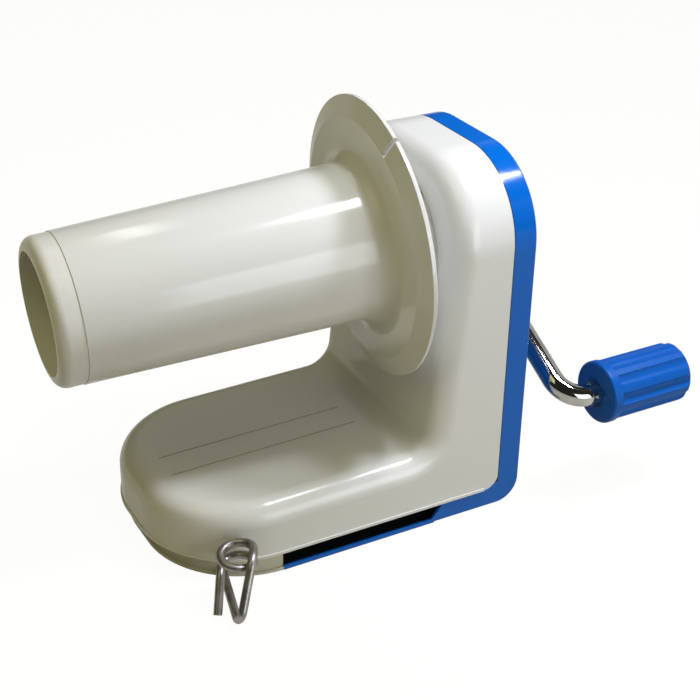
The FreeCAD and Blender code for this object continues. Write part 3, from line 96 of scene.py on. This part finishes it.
def clouds(point, size, detail=2.0, stretch=(1, 1, 1)):
    """Smooth noise from 0 to 1 whose patches have a size in metres, drawn out where stretch is under 1."""
    turned = point.ask("ShaderNodeMapping", inputs={"Vector": point, "Scale": stretch})
    noise = {"Vector": turned, "Scale": 1 / size, "Detail": detail}
    return turned.ask("ShaderNodeTexNoise", inputs=noise, output="Fac")


def polished(ground, swing):
    """Roughness of polished plastic: a ground value, cloudy patches, and a finer smear from handling."""
    patch_size, smear_size, smear_detail = 0.03, 0.006, 3.0
    smear_stretch, smear_edges = (1, 0.5, 0.5), (0.5, 0.8)

    def roughness(point):
        smear = clouds(point, smear_size, smear_detail, smear_stretch).between(*smear_edges)
        return ground + clouds(point, patch_size) * swing + smear * (swing / 2)
    return roughness


def grain(size, wave=None, detail=2.0, stretch=(1, 1, 1)):
    """Height of a skin: fine grain of a size and, where wave is given, a wave that long, twice as high."""
    def height(point):
        fine = clouds(point, size, detail, stretch)
        return fine + clouds(point, wave) * 2 if wave else fine
    return height


def finish_of(name, colour, roughness, height, relief, **fixed):
    """A material from three functions of the shaded point: its colour, its roughness and its height.

    relief is the height's full swing in metres. Fixed values go straight to the shader's sockets."""
    material = bpy.data.materials.new(name)
    point = bare_nodes(material).ask("ShaderNodeTexCoord", output="Object")
    bump = {"Height": height(point), "Strength": 1.0, "Distance": relief}
    sockets = {"Base Color": colour(point), "Roughness": roughness(point),
               "Normal": point.ask("ShaderNodeBump", inputs=bump)}
    sockets.update({label.replace("_", " "): value for label, value in fixed.items()})
    shader = point.ask("ShaderNodeBsdfPrincipled", inputs=sockets)
    point.ask("ShaderNodeOutputMaterial", inputs={"Surface": shader})
    return material


def dress(material, *names):
    """Gives a material to CAD nodes that are shown as they are."""
    for name in names:
        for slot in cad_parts[name].material_slots:
            slot.material = material


shell_cream = (0.82, 0.82, 0.81, 1)
shell_warm = (0.805, 0.80, 0.775, 1)
shell_patch = 0.045
column_face_y = 0.0298
foot_height = 0.0286
foot_slope = math.radians(1)

# The two moulded lines along the foot's top, darkened with painted shade. The sunk values are depths below
# that top.
groove_painted_shade = (0.34, 0.31, 0.19, 1)
groove_shade_share = 0.65
groove_middles = (-0.004, 0.008)
groove_half = 0.0004
groove_soft = 0.0001
groove_ends = (-0.055, 0.017)
groove_end_soft = 0.0003
groove_sunk = (0.00004, 0.0006)
groove_sunk_soft = 0.00004

# The seam's dark line starts and is full this far in front of the seam.
seam_shade = (0.02, 0.02, 0.025, 1)
seam_y = 0.059
seam_starts = 0.0003
seam_full = 0.00012


def front_colour(point):
    """Cream plastic, a little warmer in patches, dark in the seam, painted shade in the foot's two moulded
    lines.
    """
    across, depth, height = (along(point, axis) for axis in "xyz")
    body = clouds(point, shell_patch).tint(shell_cream, shell_warm)
    left, right = (across.band(middle - groove_half, middle + groove_half, groove_soft)
                   for middle in groove_middles)
    below_top = foot_height - (column_face_y - depth) * math.tan(foot_slope) - height
    on_foot = depth.band(*groove_ends, groove_end_soft) * below_top.band(*groove_sunk, groove_sunk_soft)
    # Painted shade darkens the foot's two moulded lines.
    lined = ((left + right) * on_foot * groove_shade_share).tint(body, groove_painted_shade)
    return depth.between(seam_y - seam_starts, seam_y - seam_full).tint(lined, seam_shade)


white_shell = finish_of(
    "cream_shell",
    colour=front_colour,
    roughness=polished(ground=0.13, swing=0.10),
    height=grain(size=0.0016, wave=0.012), relief=0.000012,
    IOR=1.5)
dress(white_shell, "front_shell")


# Rear shell: the bright blue half that closes the column's back, runs on under the foot and ends in
# the sill of the clamp slot, whose walls get a painted shade, nearly black. Polished ABS again; four
# screws in deep round sinks hold it on.
shell_blue = (0.001, 0.145, 0.63, 1)
deep_blue = (0.001, 0.122, 0.55, 1)
blue_patch = 0.05

# Painted shade on the slot's walls: between two heights, half of their width, and the slanting end behind
# them.
slot_shade = (0.006, 0.01, 0.014, 1)
slot_heights = (0.0015, 0.00725)
slot_half = 0.041
slot_side_soft = 0.0004
slot_end = 0.031
slot_slant = 4.4 / 7.25
slot_soft = 0.00003

# The seam's dark line on the blue side: how far it reaches under the white shell, and the heights
# between which it sets in.
seam_reach = 0.001
seam_soft = 0.00015
seam_heights = (0.009, 0.010)


def rear_colour(point):
    """Blue, deeper in patches, painted shade on the slot's walls, with a dark line along the white shell.
    """
    across, depth, height = (along(point, axis) for axis in "xyz")
    body = clouds(point, blue_patch).tint(shell_blue, deep_blue)
    # Painted shade, nearly black, on the slot's walls.
    past_end = depth - height * slot_slant - slot_end
    in_slot = height.band(*slot_heights, slot_soft) * (1 - past_end.between(slot_soft, 2 * slot_soft))
    with_slot_shade = (in_slot * across.band(-slot_half, slot_half, slot_side_soft)).tint(body, slot_shade)
    at_seam = depth.band(seam_y - seam_reach, seam_y + seam_full, seam_soft)
    return (at_seam * height.between(*seam_heights)).tint(with_slot_shade, seam_shade)


blue_shell = finish_of(
    "blue_shell",
    colour=rear_colour,
    roughness=polished(ground=0.10, swing=0.08),
    height=grain(size=0.0018, wave=0.014), relief=0.00002,
    IOR=1.5, Specular_IOR_Level=0.3)
dress(blue_shell, "rear_shell")


# Base tray: a cream moulding under the foot that roofs the clamp slot, wraps the foot's front with a
# low skirt and holds the tunnel of the yarn guide. It is less polished than the shells.
def mottled(first, second, size, detail=2.0, edges=None):
    """Colour that turns from the first to the second in cloudy patches of a size.

    edges are the noise values where the turn starts and is full; without them it follows the noise."""
    def colour(point):
        patches = clouds(point, size, detail)
        return (patches.between(*edges) if edges else patches).tint(first, second)
    return colour


def cloudy(ground, swing, size, detail=2.0, stretch=(1, 1, 1), edges=None):
    """Roughness of a ground value, changed by up to a swing in patches made as for mottled()."""
    def roughness(point):
        patches = clouds(point, size, detail, stretch)
        return ground + (patches.between(*edges) if edges else patches) * swing
    return roughness


tray_cream = (0.70, 0.685, 0.56, 1)
tray_worn = (0.60, 0.58, 0.46, 1)
tray_finish = finish_of(
    "tray_cream",
    colour=mottled(tray_cream, tray_worn, size=0.02, detail=3.0),
    roughness=cloudy(ground=0.32, swing=0.15, size=0.01),
    height=grain(size=0.0009), relief=0.00003,
    IOR=1.49)
dress(tray_finish, "base_tray")


# Gear frame: a grey moulded plate on four pillars inside the column; it carries the front bushes.
# The mould was spark-eroded, so its skin is finely pitted and dull.
frame_grey = (0.40, 0.40, 0.38, 1)
frame_pale = (0.48, 0.48, 0.45, 1)
frame_finish = finish_of(
    "frame_grey",
    colour=mottled(frame_grey, frame_pale, size=0.015),
    roughness=cloudy(ground=0.5, swing=0.2, size=0.001),
    height=grain(size=0.0004), relief=0.00004,
    IOR=1.5)
dress(frame_finish, "gear_frame")


# Bushes: four plain sleeves turned from natural acetal, with the lathe's fine rings on them.
# They are pressed into the gear frame and the rear shell, and the two shafts turn in them.
acetal = (0.74, 0.73, 0.66, 1)
acetal_grey = (0.62, 0.61, 0.55, 1)
lathe_rings = (0.05, 1, 0.05)
bush_finish = finish_of(
    "turned_acetal",
    colour=mottled(acetal, acetal_grey, size=0.006, detail=3.0),
    roughness=cloudy(ground=0.35, swing=0.2, size=0.0006, detail=1.0, stretch=(0.2, 1, 0.2)),
    height=grain(size=0.0003, detail=1.0, stretch=lathe_rings), relief=0.00001,
    IOR=1.48)
dress(bush_finish, "main_front_bush", "main_rear_bush", "crank_front_bush", "crank_rear_bush")


# Gears and carrier: moulded acetal with a waxy skin, greyed by grease in the teeth. The ring gear is
# screwed to the column's face and the hub gear to the bobbin; the others are pinned or pressed on.
gear_white = (0.70, 0.69, 0.61, 1)
grease = (0.36, 0.33, 0.24, 1)
gear_finish = finish_of(
    "greased_acetal",
    colour=mottled(gear_white, grease, size=0.008, detail=4.0, edges=(0.45, 0.75)),
    roughness=cloudy(ground=0.42, swing=-0.2, size=0.006, edges=(0.45, 0.7)),
    height=grain(size=0.0008), relief=0.00003,
    IOR=1.48)
dress(gear_finish, "ring_gear", "hub_gear", "crank_gear", "main_pinion", "carrier")


# Shafts, pins, clips and the spindle with its washer: ground or turned steel, oiled, with fine rings
# round the axis that the lathe left and darker patches where the oil has aged.
bright_steel = (0.56, 0.55, 0.53, 1)
oiled_steel = (0.40, 0.38, 0.34, 1)
steel_finish = finish_of(
    "turned_steel",
    colour=mottled(bright_steel, oiled_steel, size=0.004, detail=4.0),
    roughness=cloudy(ground=0.25, swing=0.2, size=0.0004, detail=1.0, stretch=(0.1, 1, 0.1)),
    height=grain(size=0.0003, detail=1.0, stretch=lathe_rings), relief=0.00001,
    Metallic=1.0)
dress(steel_finish, "main_shaft", "main_pinion_pin", "crank_gear_pin", "spindle", "spindle_washer",
      "crank_clip", "grip_clip")


# Crank rod: an 8 mm steel rod bent twice and chrome plated, with four ears staked out of it just
# before the grip. The plate is mirror bright, with darker patches and faint streaks of wear.
chrome_bright = (0.62, 0.62, 0.61, 1)
chrome_dark = (0.46, 0.46, 0.44, 1)
chrome_finish = finish_of(
    "chrome_plate",
    colour=mottled(chrome_bright, chrome_dark, size=0.012, detail=3.0, edges=(0.4, 0.7)),
    roughness=cloudy(ground=0.06, swing=0.12, size=0.002, stretch=(1, 0.1, 1), edges=(0.6, 0.75)),
    height=grain(size=0.008), relief=0.00002,
    Metallic=1.0)
dress(chrome_finish, "crank_rod")


# Grip: a blue moulded knob with a smooth disc towards the arm and a fluted body. It turns freely on
# the rod, held by a ring in its end under a pressed-in cap. Handling has left it satin in patches.
grip_blue = (0.001, 0.12, 0.53, 1)
grip_deep = (0.001, 0.10, 0.46, 1)
grip_finish = finish_of(
    "blue_grip",
    colour=mottled(grip_blue, grip_deep, size=0.012, detail=3.0),
    roughness=cloudy(ground=0.3, swing=0.14, size=0.004),
    height=grain(size=0.0012), relief=0.00003,
    IOR=1.5, Specular_IOR_Level=0.25)
dress(grip_finish, "grip", "grip_cap")


# Bobbin: one white moulding, the long tapered tube and the dished flange that keeps the yarn on it.
# The tube is highly polished, so that the wound ball slides off. The whole turns on the spindle.
bobbin_cream = (0.82, 0.82, 0.81, 1)
bobbin_warm = (0.80, 0.795, 0.765, 1)
bobbin_finish = finish_of(
    "bobbin_white",
    colour=mottled(bobbin_cream, bobbin_warm, size=0.04),
    roughness=polished(ground=0.11, swing=0.08),
    height=grain(size=0.0016, wave=0.01), relief=0.000012,
    IOR=1.5)
dress(bobbin_finish, "bobbin")


# Tip cap: the rounded ring that ends the bobbin's tube, plugged into it. It is the same plastic, a
# shade warmer and less polished, because hands take the finished ball off over it.
cap_cream = (0.85, 0.845, 0.82, 1)
cap_warm = (0.81, 0.80, 0.76, 1)
cap_finish = finish_of(
    "cap_white",
    colour=mottled(cap_cream, cap_warm, size=0.02),
    roughness=polished(ground=0.22, swing=0.10),
    height=grain(size=0.0014), relief=0.00002,
    IOR=1.5)
dress(cap_finish, "tip_cap")


# Yarn guide: 3 mm drawn steel wire, bent cold into a coiled eye and a tight vee, with a stop collar
# on its inner end. It is satin from the drawing, with darker stains in patches.
wire_steel = (0.42, 0.40, 0.38, 1)
wire_stain = (0.27, 0.25, 0.23, 1)
wire_finish = finish_of(
    "drawn_steel",
    colour=mottled(wire_steel, wire_stain, size=0.005, detail=4.0, edges=(0.4, 0.7)),
    roughness=cloudy(ground=0.3, swing=0.2, size=0.0006),
    height=grain(size=0.0005), relief=0.00002,
    Metallic=1.0)
dress(wire_finish, "guide_wire", "guide_collar")


# Screws: pan heads with a crossed recess, turned into the mouldings. They are steel with a zinc
# plate, which is pale and slightly mottled.
zinc = (0.55, 0.55, 0.54, 1)
zinc_dull = (0.42, 0.42, 0.43, 1)
screw_finish = finish_of(
    "zinc_plate",
    colour=mottled(zinc, zinc_dull, size=0.002, detail=3.0),
    roughness=cloudy(ground=0.3, swing=0.2, size=0.001),
    height=grain(size=0.0005), relief=0.00001,
    Metallic=1.0)
dress(screw_finish, "shell_screws", "tray_screws", "frame_screws", "ring_screws", "hub_gear_screws",
      "spindle_screw")


# Table: a plain sheet of matt card that curves up behind the winder and isn't fixed to it. It is white
# to the camera, about half as bright in anything that mirrors it, and a warm grey matt to every other
# ray, so that it keeps the winder's shadow.
table_half = 4.0
table_near, table_far, table_top = -3.0, 2.5, 3.0
table_bend, bend_steps = 0.5, 24
white = (1, 1, 1, 1)
table_matt = (0.36, 0.33, 0.20, 1)
table_glow = 1.2
glow_to_camera, glow_in_mirrors = 0.8, 0.4


def table_sheet():
    """A sheet swept along x: flat, then a quarter circle, then upright, worked out on a grid."""
    turn = np.linspace(0, math.pi / 2, bend_steps)
    run = np.concatenate([[table_near], table_far + table_bend * np.sin(turn), [table_far + table_bend]])
    rise = np.concatenate([[0], table_bend * (1 - np.cos(turn)), [table_top]])
    across = np.array([-table_half, table_half])
    sheet = np.stack(np.broadcast_arrays(across[:, None], run, rise), -1).reshape(-1, 3)
    step = np.arange(len(run) - 1)
    faces = np.stack([step, step + len(run), step + len(run) + 1, step + 1], -1)
    mesh = bpy.data.meshes.new("table_sheet")
    mesh.from_pydata(sheet.tolist(), [], faces.tolist())
    mesh.polygons.foreach_set("use_smooth", [True] * len(faces))
    return mesh


def ray_is(start, kind):
    """1 for a ray of one kind, such as Camera, and 0 for any other."""
    return start.ask("ShaderNodeLightPath", output=f"Is {kind} Ray")


def table_material():
    """A glow mixed over a matt, by a share that each kind of ray has."""
    material = bpy.data.materials.new("table_white")
    start = bare_nodes(material)
    glow = start.ask("ShaderNodeEmission", inputs={"Color": white, "Strength": table_glow})
    matt = start.ask("ShaderNodeBsdfDiffuse", inputs={"Color": table_matt})
    share = (ray_is(start, "Camera") * glow_to_camera).larger(ray_is(start, "Glossy") * glow_in_mirrors)
    mixed = start.ask("ShaderNodeMixShader", inputs={0: share, 1: matt, 2: glow})
    start.ask("ShaderNodeOutputMaterial", inputs={"Surface": mixed})
    return material


table = bpy.data.objects.new("table", table_sheet())
table.data.materials.append(table_material())
bpy.context.scene.collection.objects.link(table)


# Light: two soft lamps high behind the winder's right, a weaker one level with its right side, a warm
# one over the front, a narrow one for the line on the tube, and a dim warm room round it all. The
# camera sees that room as plain white, and bright metal sees it dark, as it would a studio's roof.
lamps_aim = (0, 0.02, 0.07)
room_warm = (0.144, 0.140, 0.081, 1)
room_dark = (0.03, 0.03, 0.025, 1)


def lamp(name, spot, width, length, watts, colour):
    """An area lamp at a spot, facing the winder, with its length lying front to back."""
    data = bpy.data.lights.new(name, "AREA")
    data.shape = "RECTANGLE"
    data.size = width
    data.size_y = length
    data.energy = watts
    data.color = colour
    made = bpy.data.objects.new(name, data)
    made.location = spot
    made.rotation_mode = "QUATERNION"
    made.rotation_quaternion = (Vector(lamps_aim) - Vector(spot)).to_track_quat("-Z", "Y")
    bpy.context.scene.collection.objects.link(made)


lamp("window", (0.10, 0.22, 0.42), width=0.07, length=0.07, watts=1.12, colour=(0.84, 0.86, 1.0))
lamp("ceiling", (0.11, 0.14, 0.55), width=0.07, length=0.07, watts=0.72, colour=(0.92, 0.95, 1.0))
lamp("side", (0.45, 0.13, 0.15), width=0.25, length=0.25, watts=0.68, colour=(0.91, 0.93, 1.0))
lamp("tube_light", (-0.22, 0.03, 0.54), width=0.007, length=0.2, watts=0.1, colour=(1.0, 1.0, 1.0))
lamp("front_wall", (0.05, -0.30, 0.46), width=0.3, length=0.3, watts=0.31, colour=(1.0, 0.91, 0.4))

room = bpy.data.worlds.new("room")
bpy.context.scene.world = room
start = bare_nodes(room)
plain = ray_is(start, "Camera").larger(ray_is(start, "Transmission"))
room_tone = ray_is(start, "Glossy").tint(room_warm, room_dark)
wall = start.ask("ShaderNodeBackground", inputs={"Color": plain.tint(room_tone, white), "Strength": 1.0})
start.ask("ShaderNodeOutputWorld", inputs={"Surface": wall})


# Camera: where the photograph was taken from, worked out from the winder's outline in it. The lens
# is given in pixels of a picture as wide as the photograph, and turned into millimetres.
azimuth, elevation, roll = math.radians(60.6725), math.radians(28.8121), math.radians(1.0056)
aim = np.array([0.0000143, 0.0194723, 0.0539107])
distance = 0.539275
photo_width, focal_pixels, sensor_width = 700, 1483.466, 36
back = np.array([math.sin(azimuth) * math.cos(elevation), -math.cos(azimuth) * math.cos(elevation),
                 math.sin(elevation)])
level = np.array([math.cos(azimuth), math.sin(azimuth), 0])
upward = np.cross(back, level)
right = math.cos(roll) * level + math.sin(roll) * upward
up = math.cos(roll) * upward - math.sin(roll) * level
camera = bpy.data.objects.new("camera", bpy.data.cameras.new("camera"))
camera.data.sensor_width = sensor_width
camera.data.lens = sensor_width * focal_pixels / photo_width
camera.data.clip_start = 0.01
axes = Matrix(np.stack([right, up, back], 1).tolist()).to_4x4()
camera.matrix_world = Matrix.Translation((aim + back * distance).tolist()) @ axes
bpy.context.scene.collection.objects.link(camera)
bpy.context.scene.camera = camera
bpy.context.scene.view_settings.view_transform = "Standard"
